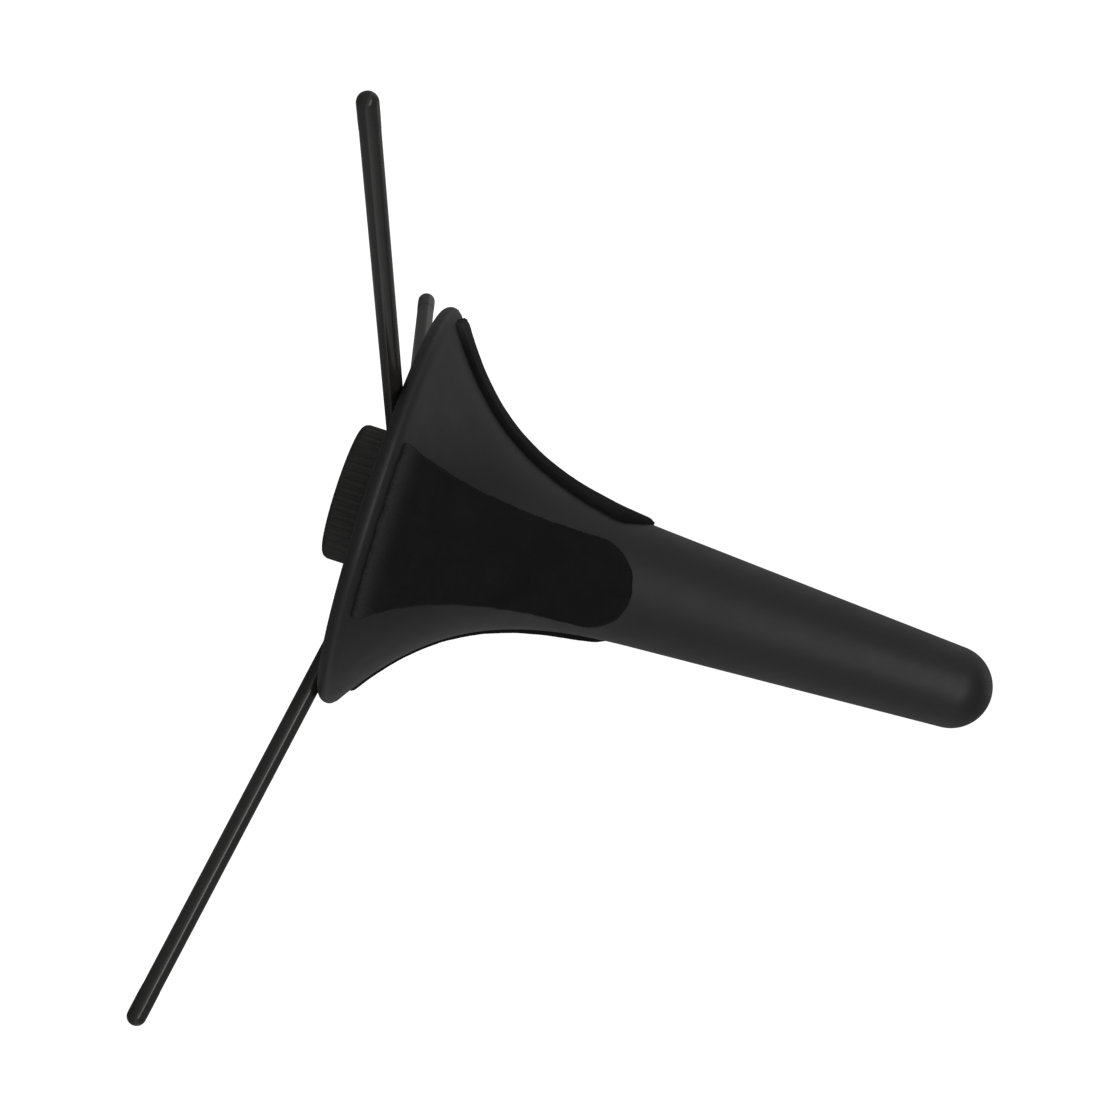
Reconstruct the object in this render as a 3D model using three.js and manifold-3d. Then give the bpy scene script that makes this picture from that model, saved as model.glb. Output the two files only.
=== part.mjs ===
// In-bell stand for a trumpet or cornet: a hollow flared peg with three velvet pads stands on
// three thin folding legs. The legs hinge on a hub that plugs into a socket inside the peg, and
// a ribbed knob under the hub draws it out, so that the legs can fold up and stow in the peg.
//
// Millimetres, +Z up along the peg's axis. The origin is the centre of the knob's flat underside.

import * as THREE from 'three';
import { mergeVertices } from 'three/addons/utils/BufferGeometryUtils.js';
import Module from 'manifold-3d';

const wasm = await Module();
wasm.setup();

const DEG = Math.PI / 180;

// ---- Driving dimensions ----------------------------------------------------------------------

const GAP = 0.3; // between pieces that touch

// Knob
const KNOB_RADIUS = 18.2;
const KNOB_HEIGHT = 7.8;
const KNOB_EDGE = 2.0; // rounding of the lower edge
const RIB_COUNT = 48;
const RIB_DEPTH = 0.7;

// Peg shell: lip, flare, cone and round tip. Heights above RIM_Z unless said otherwise.
const RIM_Z = 10.7;
const WALL = 2.0;
const LIP_RADIUS = 51.3; // to the centre of the rolled lip
const LIP_HEIGHT = 2.7; // of that centre
const LIP_ROUND = 2.45; // radius of the lip's own section
const FLARE_ANGLE = 58 * DEG; // between the flare and the axis at the lip
const FLARE_HANDLE = 32; // how far the flare keeps that direction
const CONE_HANDLE = 33; // how far it takes the cone's direction
const CONE_START = 73; // where the plain cone begins
const CONE_RADIUS = 15.8; // there
const CONE_SLOPE = 0.0615; // radius lost per millimetre of height
const TIP_HEIGHT = 154.4; // centre of the round tip
const PEG_SEGMENTS = 48; // facets round the peg and its pads
const FLARE_STATIONS = 12;

// Velvet pads, in outline as seen square on
const PAD_THICKNESS = 1.2;
const PAD_AZIMUTHS = [14, 136, 262]; // glued on by hand, so not quite evenly spaced
const PAD_RIM_HEIGHT = 6.2;
const PAD_RIM_HALF = 23;
const PAD_NECK_HALF = 11.9;
const PAD_BEND_HEIGHT = 22.4; // where the side's two end directions cross
const PAD_ROUND_HEIGHT = 58; // centre of the round end
const PAD_ROUND_LENGTH = 11;
const PAD_REACH = 70; // how far out the outline is carried to cut the pad's skin

// Socket tube and the grip ring in its groove
const SOCKET_BORE = 14.8;
const SOCKET_OUTER = 16.4;
const SOCKET_BOTTOM = 17.2; // above the origin
const SOCKET_TOP = 58.4;
const RING_BOTTOM = 18.8;
const RING_HEIGHT = 1.5;
const RING_SECTION = 0.75; // across
const SOCKET_SEGMENTS = 40;

// Legs
const LEG_AZIMUTHS = [90, 210, 330];
const ROD_RADIUS = 2.5;
const FOOT_RADIUS = 144.5; // from the axis to the centre of the foot's ball
const FOOT_Z = -7.5;
const FOOT_BALL = 2.7;
const FOOT_FLAT = 2.5; // from the ball's centre down to its flat
const PIVOT_RADIUS = 7;
const PIVOT_Z = 15.48;
const KNUCKLE_RADIUS = 3.0;
const KNUCKLE_WIDTH = 5.2;
const KNUCKLE_LENGTH = 13;
const BARREL_RADIUS = 2.6;
const SPIGOT_RADIUS = 1.5;
const SPIGOT_START = 6; // bottom of the rod's socket in the knuckle, from the pivot
const SPIGOT_END = 1.5; // from the rod's outer end to the centre of the foot's ball
const CAP_LENGTH = 7; // from its open end to the centre of its ball
const CAP_BORE_END = 1.2; // from the bottom of its bore to that centre
const CAP_CHAMFER = 0.25;
const CAP_CHAMFER_LENGTH = 0.6;
const PIN_RADIUS = 1.2;
const PIN_START = -5.6; // across the leg's slot
const PIN_END = 8;
const BORE_START = -6;
const ROD_SEGMENTS = 20;
const CAP_SEGMENTS = 16;
const HOLE_SEGMENTS = 12;

// Hub
const HUB_RADIUS = 14.25;
const HUB_FLANGE = 15.2;
const HUB_BOTTOM = KNOB_HEIGHT + GAP;
const HUB_FLOOR = 11.3;
const HUB_TOP = 24.7;
const HUB_SEGMENTS = 36;
const SLOT_WIDTH = 6.0;
const WELL_SEGMENTS = 16;

// Screws, in the lobes between the slots
const SCREW_CIRCLE = 10;
const SCREW_SHANK = 1.2;
const SCREW_END = 3.3; // height of its tip
const SCREW_POINT = 1; // length of its tapered tip
const SCREW_HEAD = 2.5;
const SCREW_HEAD_SIDE = 0.8; // height of the head's straight side
const SCREW_HEAD_HEIGHT = 1.8;
const SCREW_HEAD_TOP = 1.5; // radius of its flat top

// ---- Materials -------------------------------------------------------------------------------

const FINISHES = {
  satinAbs: { color: 0x2c2b2b, roughness: 0.5, metalness: 0 },
  knobAbs: { color: 0x20201f, roughness: 0.55, metalness: 0 },
  velvet: { color: 0x171515, roughness: 1, metalness: 0 },
  nylon: { color: 0x262626, roughness: 0.45, metalness: 0 },
  rubber: { color: 0x1b1b1b, roughness: 0.7, metalness: 0 },
  coatedSteel: { color: 0x2b2a2a, roughness: 0.35, metalness: 0.1 },
  zincSteel: { color: 0xa9abae, roughness: 0.3, metalness: 1 },
};

// ---- Helpers ---------------------------------------------------------------------------------

const point = (r, z) => new THREE.Vector2(r, z);

/** Closed profile of (radius, height) points turned about the Z axis. */
function revolve(profile, segments) {
  return new THREE.LatheGeometry([...profile, profile[0]], segments).rotateX(Math.PI / 2);
}

/** Solid cylinder along Z. */
function rod(radius, bottom, top, segments) {
  const shape = new THREE.CylinderGeometry(radius, radius, top - bottom, segments);
  return shape.rotateX(Math.PI / 2).translate(0, 0, (bottom + top) / 2);
}

/** Solid cylinder along X. */
const rodX = (radius, start, end, segments) => rod(radius, start, end, segments).rotateY(Math.PI / 2);

/** Solid cylinder along Y. */
const rodY = (radius, start, end, segments) => rod(radius, start, end, segments).rotateX(-Math.PI / 2);

/** Box between two corners. */
function block(low, high) {
  const size = high.map((value, axis) => value - low[axis]);
  const centre = high.map((value, axis) => (value + low[axis]) / 2);
  return new THREE.BoxGeometry(...size).translate(...centre);
}

/** Manifold solid from a closed geometry. */
function solid(geometry) {
  const bare = geometry.clone();
  bare.deleteAttribute('normal');
  bare.deleteAttribute('uv');
  const merged = mergeVertices(bare, 1e-4);
  const vertProperties = new Float32Array(merged.attributes.position.array);
  const triVerts = new Uint32Array(merged.index.array);
  return new wasm.Manifold(new wasm.Mesh({ numProp: 3, vertProperties, triVerts }));
}

/** Geometry of a manifold solid. */
function geometryOf(body) {
  const mesh = body.getMesh();
  const geometry = new THREE.BufferGeometry();
  geometry.setAttribute('position', new THREE.BufferAttribute(mesh.vertProperties, 3));
  geometry.setIndex(new THREE.BufferAttribute(mesh.triVerts, 1));
  geometry.computeVertexNormals();
  return geometry;
}

/** First geometry joined with the second list and cut by the third. */
function carve(base, joined, cut) {
  let body = solid(base);
  for (const geometry of joined) body = body.add(solid(geometry));
  for (const geometry of cut) body = body.subtract(solid(geometry));
  return geometryOf(body);
}

function piece(name, geometry, finish) {
  const mesh = new THREE.Mesh(geometry, new THREE.MeshStandardMaterial(FINISHES[finish]));
  mesh.name = name;
  return mesh;
}

/** Group turned about Z, for one of several legs, pads or screws. */
function atAzimuth(degrees, meshes) {
  const group = new THREE.Group();
  group.rotation.z = degrees * DEG;
  group.add(...meshes);
  return group;
}

// ---- Peg -------------------------------------------------------------------------------------

/** The flare's curve as (radius, height) points with their outward normals. */
function flareCurve(count) {
  const along = point(-Math.sin(FLARE_ANGLE), Math.cos(FLARE_ANGLE));
  const outward = point(along.y, -along.x);
  const lipCentre = point(LIP_RADIUS, RIM_Z + LIP_HEIGHT);
  const start = lipCentre.clone().addScaledVector(outward, LIP_ROUND);
  const end = point(CONE_RADIUS, RIM_Z + CONE_START);
  const coneDown = point(CONE_SLOPE, -1).normalize();
  const curve = new THREE.CubicBezierCurve(
    start,
    start.clone().addScaledVector(along, FLARE_HANDLE),
    end.clone().addScaledVector(coneDown, CONE_HANDLE),
    end,
  );
  return Array.from({ length: count + 1 }, (_, i) => {
    const tangent = curve.getTangent(i / count);
    return { at: curve.getPoint(i / count), normal: point(tangent.y, -tangent.x) };
  });
}

const offset = (station, distance) => station.at.clone().addScaledVector(station.normal, distance);

/** Round tip of the peg, from the cone up to the axis, moved inwards by inset. */
function tipArc(inset, count) {
  const tilt = Math.atan(CONE_SLOPE);
  const edge = CONE_RADIUS - CONE_SLOPE * (TIP_HEIGHT - CONE_START);
  const radius = edge * Math.cos(tilt) - inset;
  return Array.from({ length: count + 1 }, (_, i) => {
    const angle = tilt + (Math.PI / 2 - tilt) * (i / count);
    const r = i === count ? 0 : radius * Math.cos(angle);
    return point(r, RIM_Z + TIP_HEIGHT + radius * Math.sin(angle));
  });
}

/** Rolled lip: most of a circle, from where it leaves the inner wall round to the outer wall. */
function lipArc(count) {
  const leave = Math.acos((LIP_ROUND - WALL) / LIP_ROUND);
  const out = Math.PI / 2 - FLARE_ANGLE;
  return Array.from({ length: count }, (_, i) => {
    const angle = out + leave + (2 * Math.PI - leave) * (i / count);
    const r = LIP_RADIUS + LIP_ROUND * Math.cos(angle);
    return point(r, RIM_Z + LIP_HEIGHT + LIP_ROUND * Math.sin(angle));
  });
}

function pegShell() {
  const flare = flareCurve(FLARE_STATIONS);
  const inner = flare.slice(1).map((station) => offset(station, -WALL));
  const profile = [
    ...lipArc(9),
    ...flare.map((station) => station.at),
    ...tipArc(0, 5),
    ...tipArc(WALL, 4).reverse(),
    ...inner.reverse(),
  ];
  return piece('peg_shell', revolve(profile, PEG_SEGMENTS), 'satinAbs');
}

/** Outline of a pad seen square on: wide at the rim, hollow-sided, with a round end up the cone. */
function padOutline() {
  const shape = new THREE.Shape();
  shape.moveTo(-PAD_RIM_HALF, PAD_RIM_HEIGHT);
  shape.lineTo(PAD_RIM_HALF, PAD_RIM_HEIGHT);
  shape.quadraticCurveTo(PAD_NECK_HALF, PAD_BEND_HEIGHT, PAD_NECK_HALF, PAD_ROUND_HEIGHT);
  shape.absellipse(0, PAD_ROUND_HEIGHT, PAD_NECK_HALF, PAD_ROUND_LENGTH, 0, Math.PI, false, 0);
  shape.quadraticCurveTo(-PAD_NECK_HALF, PAD_BEND_HEIGHT, -PAD_RIM_HALF, PAD_RIM_HEIGHT);
  return shape;
}

/** Skin of even thickness round the flare, cut to the pad's outline on the +X side. */
function velvetPad(name) {
  const flare = flareCurve(FLARE_STATIONS);
  const skin = [
    ...flare.map((station) => offset(station, GAP + PAD_THICKNESS)),
    ...flare.map((station) => offset(station, GAP)).reverse(),
  ];
  const settings = { depth: PAD_REACH, bevelEnabled: false, curveSegments: 8 };
  const cutter = new THREE.ExtrudeGeometry(padOutline(), settings);
  cutter.rotateX(Math.PI / 2).rotateZ(Math.PI / 2).translate(0, 0, RIM_Z);
  const pad = solid(revolve(skin, PEG_SEGMENTS)).intersect(solid(cutter));
  return piece(name, geometryOf(pad), 'velvet');
}

/** Tube glued into the peg's neck. The hub plugs into its lower end, past the ring's groove. */
function legSocket() {
  const groove = HUB_RADIUS + GAP + RING_SECTION + GAP;
  const bottom = RING_BOTTOM - GAP;
  const top = RING_BOTTOM + RING_HEIGHT + GAP;
  const profile = [
    point(SOCKET_BORE, SOCKET_BOTTOM),
    point(SOCKET_OUTER, SOCKET_BOTTOM),
    point(SOCKET_OUTER, SOCKET_TOP),
    point(SOCKET_BORE, SOCKET_TOP),
    point(SOCKET_BORE, top),
    point(groove, top),
    point(groove, bottom),
    point(SOCKET_BORE, bottom),
  ];
  return piece('leg_socket', revolve(profile, SOCKET_SEGMENTS), 'nylon');
}

/** Ring of rectangular section round the hub, in the socket's groove. */
function gripRing() {
  const inner = HUB_RADIUS + GAP;
  const outer = inner + RING_SECTION;
  const top = RING_BOTTOM + RING_HEIGHT;
  const profile = [
    point(inner, RING_BOTTOM),
    point(outer, RING_BOTTOM),
    point(outer, top),
    point(inner, top),
  ];
  return piece('grip_ring', revolve(profile, SOCKET_SEGMENTS), 'rubber');
}

// ---- Hub and knob ----------------------------------------------------------------------------

/** Three lobes on a floor, with a slot for each leg, its pin's bore and a deep screw hole a lobe. */
function legHub() {
  const flange = rod(HUB_FLANGE, HUB_BOTTOM, HUB_FLOOR, HUB_SEGMENTS);
  const barrel = rod(HUB_RADIUS, HUB_BOTTOM, HUB_TOP, HUB_SEGMENTS);
  const outside = HUB_FLANGE + 1;
  const above = HUB_TOP + 1;
  const cuts = [];
  for (const azimuth of LEG_AZIMUTHS) {
    const turn = azimuth * DEG;
    const slot = block([0, -SLOT_WIDTH / 2, HUB_FLOOR], [outside, SLOT_WIDTH / 2, above]);
    const bore = rodY(PIN_RADIUS + GAP, BORE_START, outside, HOLE_SEGMENTS);
    bore.translate(PIVOT_RADIUS, 0, PIVOT_Z);
    const well = rod(SCREW_HEAD + GAP, HUB_FLOOR, above, WELL_SEGMENTS).translate(-SCREW_CIRCLE, 0, 0);
    const hole = rod(SCREW_SHANK + GAP, 0, HUB_TOP, HOLE_SEGMENTS).translate(-SCREW_CIRCLE, 0, 0);
    cuts.push(...[slot, bore, well, hole].map((geometry) => geometry.rotateZ(turn)));
  }
  return piece('leg_hub', carve(barrel, [flange], cuts), 'nylon');
}

/** Outline of the ribbed knob: a sharp valley and a flat-topped rib in each step round it. */
function ribOutline() {
  const step = (2 * Math.PI) / RIB_COUNT;
  const rib = [
    [0.0, KNOB_RADIUS - RIB_DEPTH],
    [0.3, KNOB_RADIUS],
    [0.7, KNOB_RADIUS],
  ];
  const at = (angle, radius) => point(radius * Math.cos(angle), radius * Math.sin(angle));
  const outline = [];
  for (let i = 0; i < RIB_COUNT; i++) {
    outline.push(...rib.map(([part, radius]) => at((i + part) * step, radius)));
  }
  return new THREE.Shape(outline);
}

/** Ribbed disc trimmed to a body with a rounded lower edge, with a blind hole for each screw. */
function knob() {
  const star = new THREE.ExtrudeGeometry(ribOutline(), { depth: KNOB_HEIGHT, bevelEnabled: false });
  const edge = Array.from({ length: 4 }, (_, i) => {
    const angle = -Math.PI / 2 + (Math.PI / 6) * i;
    const centre = KNOB_RADIUS - KNOB_EDGE;
    return point(centre + KNOB_EDGE * Math.cos(angle), KNOB_EDGE + KNOB_EDGE * Math.sin(angle));
  });
  const profile = [point(0, 0), ...edge, point(KNOB_RADIUS, KNOB_HEIGHT), point(0, KNOB_HEIGHT)];
  let body = solid(star).intersect(solid(revolve(profile, RIB_COUNT)));
  for (const azimuth of LEG_AZIMUTHS) {
    const hole = rod(SCREW_SHANK + GAP, SCREW_END - GAP, KNOB_HEIGHT + 1, HOLE_SEGMENTS);
    body = body.subtract(solid(hole.translate(-SCREW_CIRCLE, 0, 0).rotateZ(azimuth * DEG)));
  }
  return piece('knob', geometryOf(body), 'knobAbs');
}

/** Self-tapping screw from inside a lobe down into the knob. */
function hubScrew(name) {
  const headBottom = HUB_FLOOR + GAP;
  const profile = [
    point(0, SCREW_END),
    point(SCREW_SHANK, SCREW_END + SCREW_POINT),
    point(SCREW_SHANK, headBottom),
    point(SCREW_HEAD, headBottom),
    point(SCREW_HEAD, headBottom + SCREW_HEAD_SIDE),
    point(SCREW_HEAD_TOP, headBottom + SCREW_HEAD_HEIGHT),
    point(0, headBottom + SCREW_HEAD_HEIGHT),
  ];
  return piece(name, revolve(profile, HOLE_SEGMENTS).translate(-SCREW_CIRCLE, 0, 0), 'zincSteel');
}

// ---- Legs ------------------------------------------------------------------------------------

const legDrop = Math.atan2(PIVOT_Z - FOOT_Z, FOOT_RADIUS - PIVOT_RADIUS);
const legLength = Math.hypot(PIVOT_Z - FOOT_Z, FOOT_RADIUS - PIVOT_RADIUS);
const capStart = legLength - CAP_LENGTH;

/** Eye on the pivot pin, with a socket for the rod. Along +X from the pivot. */
function legKnuckle(name) {
  const eye = rodY(KNUCKLE_RADIUS, -KNUCKLE_WIDTH / 2, KNUCKLE_WIDTH / 2, ROD_SEGMENTS);
  const barrel = rodX(BARREL_RADIUS, 0, KNUCKLE_LENGTH, ROD_SEGMENTS);
  const bore = rodY(PIN_RADIUS + GAP, -KNUCKLE_WIDTH, KNUCKLE_WIDTH, HOLE_SEGMENTS);
  const socket = rodX(SPIGOT_RADIUS + GAP, SPIGOT_START, KNUCKLE_LENGTH + 1, HOLE_SEGMENTS);
  return piece(name, carve(eye, [barrel], [bore, socket]), 'nylon');
}

/** Steel rod, turned down at both ends for the knuckle and the foot cap. */
function legRod(name) {
  const innerEnd = SPIGOT_START + GAP;
  const rodStart = KNUCKLE_LENGTH + GAP;
  const rodEnd = capStart - GAP;
  const outerEnd = legLength - SPIGOT_END;
  const profile = [
    point(0, innerEnd),
    point(SPIGOT_RADIUS, innerEnd),
    point(SPIGOT_RADIUS, rodStart),
    point(ROD_RADIUS, rodStart),
    point(ROD_RADIUS, rodEnd),
    point(SPIGOT_RADIUS, rodEnd),
    point(SPIGOT_RADIUS, outerEnd),
    point(0, outerEnd),
  ];
  return piece(name, revolve(profile, ROD_SEGMENTS).rotateY(Math.PI / 2), 'coatedSteel');
}

/** Short cap with a ball end that has a small flat where it stands on the floor. */
function footCap(name) {
  const steps = 4;
  const ball = Array.from({ length: steps + 1 }, (_, i) => {
    const angle = (Math.PI / 2) * (i / steps);
    const r = i === steps ? 0 : FOOT_BALL * Math.cos(angle);
    return point(r, legLength + FOOT_BALL * Math.sin(angle));
  });
  const inside = SPIGOT_RADIUS + GAP;
  const bottom = legLength - CAP_BORE_END;
  const profile = [
    point(inside, capStart),
    point(FOOT_BALL - CAP_CHAMFER, capStart),
    point(FOOT_BALL, capStart + CAP_CHAMFER_LENGTH),
    ...ball,
    point(0, bottom),
    point(inside, bottom),
  ];
  const cap = revolve(profile, CAP_SEGMENTS).rotateY(Math.PI / 2);
  const reach = 2 * CAP_LENGTH;
  const floor = block([-reach, -reach, -reach], [reach, reach, -FOOT_FLAT]);
  floor.rotateY(-legDrop).translate(legLength, 0, 0);
  return piece(name, carve(cap, [], [floor]), 'rubber');
}

function pivotPin(name) {
  const pin = rodY(PIN_RADIUS, PIN_START, PIN_END, HOLE_SEGMENTS);
  return piece(name, pin.translate(PIVOT_RADIUS, 0, PIVOT_Z), 'zincSteel');
}

/** One leg at its place on the hub, sloping down and out along +X. */
function leg(number) {
  const group = new THREE.Group();
  group.position.set(PIVOT_RADIUS, 0, PIVOT_Z);
  group.rotation.y = legDrop;
  group.add(legKnuckle(`leg_knuckle_${number}`));
  group.add(legRod(`leg_rod_${number}`));
  group.add(footCap(`foot_cap_${number}`));
  return group;
}

// ---- Assembly --------------------------------------------------------------------------------

const group = new THREE.Group();
group.add(pegShell(), legSocket(), gripRing(), legHub(), knob());
PAD_AZIMUTHS.forEach((azimuth, i) => group.add(atAzimuth(azimuth, [velvetPad(`velvet_pad_${i + 1}`)])));
LEG_AZIMUTHS.forEach((azimuth, i) => {
  const parts = [leg(i + 1), pivotPin(`pivot_pin_${i + 1}`), hubScrew(`hub_screw_${i + 1}`)];
  group.add(atAzimuth(azimuth, parts));
});

export default group;
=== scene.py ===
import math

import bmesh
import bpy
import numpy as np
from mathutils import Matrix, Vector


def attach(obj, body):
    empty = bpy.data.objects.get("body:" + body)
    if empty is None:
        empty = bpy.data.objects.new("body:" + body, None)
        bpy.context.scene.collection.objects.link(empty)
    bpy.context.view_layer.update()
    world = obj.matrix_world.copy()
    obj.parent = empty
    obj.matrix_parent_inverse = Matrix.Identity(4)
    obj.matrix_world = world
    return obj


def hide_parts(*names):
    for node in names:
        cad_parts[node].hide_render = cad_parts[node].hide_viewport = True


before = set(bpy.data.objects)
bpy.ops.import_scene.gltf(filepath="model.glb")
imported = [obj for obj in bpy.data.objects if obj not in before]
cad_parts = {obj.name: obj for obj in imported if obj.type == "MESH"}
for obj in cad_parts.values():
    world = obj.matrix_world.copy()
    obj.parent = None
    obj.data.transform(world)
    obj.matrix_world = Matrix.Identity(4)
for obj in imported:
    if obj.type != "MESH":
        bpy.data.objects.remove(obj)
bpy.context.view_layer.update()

# In-bell stand for a trumpet or cornet. A hollow flared peg in black moulded plastic carries three
# velvet pads and stands on three thin steel legs. The legs hinge on a hub that plugs into a socket
# inside the peg, and a ribbed knob is screwed under the hub.
#
# Shapes are worked out in millimetres, +Z up along the peg's axis from the knob's flat underside,
# and turned into metres where a mesh is made.

MM = 0.001
TURN = 2 * math.pi

# ---- Dimensions ---------------------------------------------------------------------------------

RIM_Z = 10.7
WALL = 2.0
PEG_AROUND = 256  # points round the peg
LIP_RADIUS = 51.3  # to the centre of the rolled lip
LIP_HEIGHT = 2.7  # of that centre above RIM_Z
LIP_ROUND = 2.45
FLARE_ANGLE = math.radians(58)  # between the flare and the axis at the lip
FLARE_HANDLE = 32
CONE_HANDLE = 33
CONE_START = 73  # above RIM_Z
CONE_RADIUS = 15.8
CONE_SLOPE = 0.0615
TIP_HEIGHT = 154.4  # centre of the round tip above RIM_Z

PAD_BOTTOM = 0.05  # above the shell
PAD_TOP = 1.5
PAD_EDGE = 1.0  # how far in from the cut the pile stands up to its full height
PAD_NECK_EDGE = 1.2  # more of that at the neck's end
PAD_SHEEN_BAND = 4.5  # width of the paler band of painted sheen on the rim's side
PAD_SLACK = 0.08  # room under PAD_TOP for the pile's unevenness
PAD_WANDER = [(0.14, 5), (0.05, 1.3)]  # depth and wavelength of the cut edge's unevenness
PAD_PILE = [(0.05, 11), (0.025, 2.2)]  # the same for the pile's height
PAD_CREASE = 14  # height above the rim's edge where the centre line starts
PAD_STEPS = 480  # points round a pad
PAD_RIM_HEIGHT = 6.2
PAD_RIM_HALF = 23
PAD_NECK_HALF = 11.9
PAD_BEND_HEIGHT = 22.4
PAD_ROUND_HEIGHT = 58
PAD_ROUND_LENGTH = 11
PAD_AZIMUTHS = [(12.6, 18.0), (135.0, 138.0), (266.0, 266.0)]  # degrees at the rim, and at the neck

KNOB_RADIUS = 18.2
KNOB_HEIGHT = 7.8
KNOB_EDGE = 2.0
RIB_COUNT = 48
RIB_DEPTH = 0.7
GATE_RADIUS = 1.3  # dimple where the plastic was fed into the knob's mould
GATE_DEPTH = 0.4
SHOULDER = 0.4  # round on the knob's upper edge

SOCKET_BORE = 14.8
SOCKET_OUTER = 16.4
SOCKET_BOTTOM = 17.2
SOCKET_TOP = 58.4
GROOVE_RADIUS = 15.6
GROOVE_BOTTOM = 18.5
GROOVE_TOP = 20.6
RING_INNER = 14.55
RING_SECTION = 0.75
RING_BOTTOM = 18.8
RING_HEIGHT = 1.5
RING_EDGE = 0.33
TUBE_AROUND = 144  # points round the socket and the ring

PIVOT_RADIUS = 7
PIVOT_Z = 15.48
FOOT_RADIUS = 144.5
FOOT_Z = -7.5
FLOOR_Z = -10.0
ROD_RADIUS = 2.5
SPIGOT_RADIUS = 1.5
ROD_START = 13.3
SPIGOT_START = 6.3
SPIGOT_END = 1.5
FOOT_BALL = 2.58
CAP_LENGTH = 7
CAP_LIP = 0.9  # how far the cap's thin edge reaches over the rod
CAP_SKIN = 0.02  # thickness of that edge, and its height over the rod
CAP_SWELL = 2  # how far past its start the cap has its full width
CAP_BORE = 1.8
CAP_BORE_END = 1.2
CAP_GAP = 0.3  # between the rod's shoulder and the cap's own
PIN_RADIUS = 1.2
PIN_START = -5.6
PIN_END = 8
LEG_AZIMUTHS = [90, 210, 330]

SCREW_CIRCLE = 10
SCREW_SHANK = 1.2
SCREW_TIP = 3.3
SCREW_POINT = 1.2  # length of the taper to the tip
SCREW_HEAD = 2.5
SCREW_HEAD_BOTTOM = 11.6
SCREW_HEAD_HEIGHT = 1.8
SCREW_WALL = 0.6  # upright part of the head's side
SCREW_CROSS_HALF = 1.25  # half length of an arm of the cross recess
SCREW_CROSS_ARM = 0.36  # half width of an arm
SCREW_HOLE = 1.3  # radius of the blind hole in the knob
SCREW_HOLE_END = 3.0  # height of its pointed end's tip
SCREW_HOLE_POINT = 0.5
THREAD_PITCH = 0.9
THREAD_DEPTH = 0.28

# ---- Camera -------------------------------------------------------------------------------------

AIM = Vector((0, -1.69, 56.05)) * MM
CAMERA_DISTANCE = 704 * MM
CAMERA_AZIMUTH = math.radians(4.3)
CAMERA_ELEVATION = math.radians(1.72)
CAMERA_ROLL = math.radians(107.92)
CAMERA_LENS = 89.0


def direction(azimuth, elevation):
    """Unit vector at that azimuth from +X towards +Y, and that elevation above the horizon."""
    flat = math.cos(elevation)
    return Vector((flat * math.cos(azimuth), flat * math.sin(azimuth), math.sin(elevation)))


def make_camera():
    """Camera on a sphere round the aim point, then rolled about its own line of sight."""
    data = bpy.data.cameras.new("camera")
    data.lens = CAMERA_LENS
    camera = bpy.data.objects.new("camera", data)
    bpy.context.scene.collection.objects.link(camera)
    towards = direction(CAMERA_AZIMUTH, CAMERA_ELEVATION)
    spin = Matrix.Rotation(CAMERA_ROLL, 4, "Z")
    turn = towards.to_track_quat("Z", "Y").to_matrix().to_4x4()
    camera.matrix_world = Matrix.Translation(AIM + towards * CAMERA_DISTANCE) @ turn @ spin
    bpy.context.scene.camera = camera


make_camera()

# ---- Profiles and surfaces ----------------------------------------------------------------------


def arc(centre, radius, start, stop, count):
    """Points (r, z) at even angles of a circle, from the start angle to the stop angle."""
    angle = np.linspace(start, stop, count)
    return np.column_stack([centre[0] + radius * np.cos(angle), centre[1] + radius * np.sin(angle)])


def rounded(corners, radii, steps=6, support=0.12):
    """Polyline through the corners, with each one that has a radius replaced by its tangent arc.
    The arc's points turn the vector from its centre to the first tangent point evenly to the last,
    and one more point on each straight keeps the flat faces flat under smooth shading."""
    corners = np.array(corners, float)
    parts = []
    for i, radius in enumerate(radii):
        here = corners[i]
        if not radius:
            parts.append(here[None])
            continue
        back = corners[i - 1] - here
        ahead = corners[(i + 1) % len(corners)] - here
        back = back / np.linalg.norm(back)
        ahead = ahead / np.linalg.norm(ahead)
        half = math.acos(np.clip(back @ ahead, -1, 1)) / 2
        reach = radius / math.tan(half)
        centre = here + (back + ahead) / np.linalg.norm(back + ahead) * radius / math.sin(half)
        first = here + back * reach - centre
        last = here + ahead * reach - centre
        sweep = math.pi - 2 * half
        share = np.linspace(0, 1, steps)[:, None]
        bend = (np.sin((1 - share) * sweep) * first + np.sin(share * sweep) * last) / math.sin(sweep)
        parts.append((here + back * (reach + support))[None])
        parts.append(centre + bend)
        parts.append((here + ahead * (reach + support))[None])
    return np.concatenate(parts)


def turned(profile, around):
    """Surface of revolution: every (r, z) point of the profile carried round the Z axis."""
    angle = np.linspace(0, TURN, around, endpoint=False)
    radius = profile[:, :1]
    height = np.broadcast_to(profile[:, 1:], (len(profile), around))
    return np.stack([radius * np.cos(angle), radius * np.sin(angle), height], axis=-1)


def place(points, origin, axis):
    """Points made along +Z, moved so that Z runs along the axis from the origin."""
    turn = np.array(Vector(axis).to_track_quat("Z", "Y").to_matrix())
    return points @ turn.T + np.array(origin)


def about_z(points, degrees):
    """Points turned about the Z axis."""
    angle = math.radians(degrees)
    across, up = math.cos(angle), math.sin(angle)
    return points @ np.array([[across, up, 0], [-up, across, 0], [0, 0, 1]])


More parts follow.
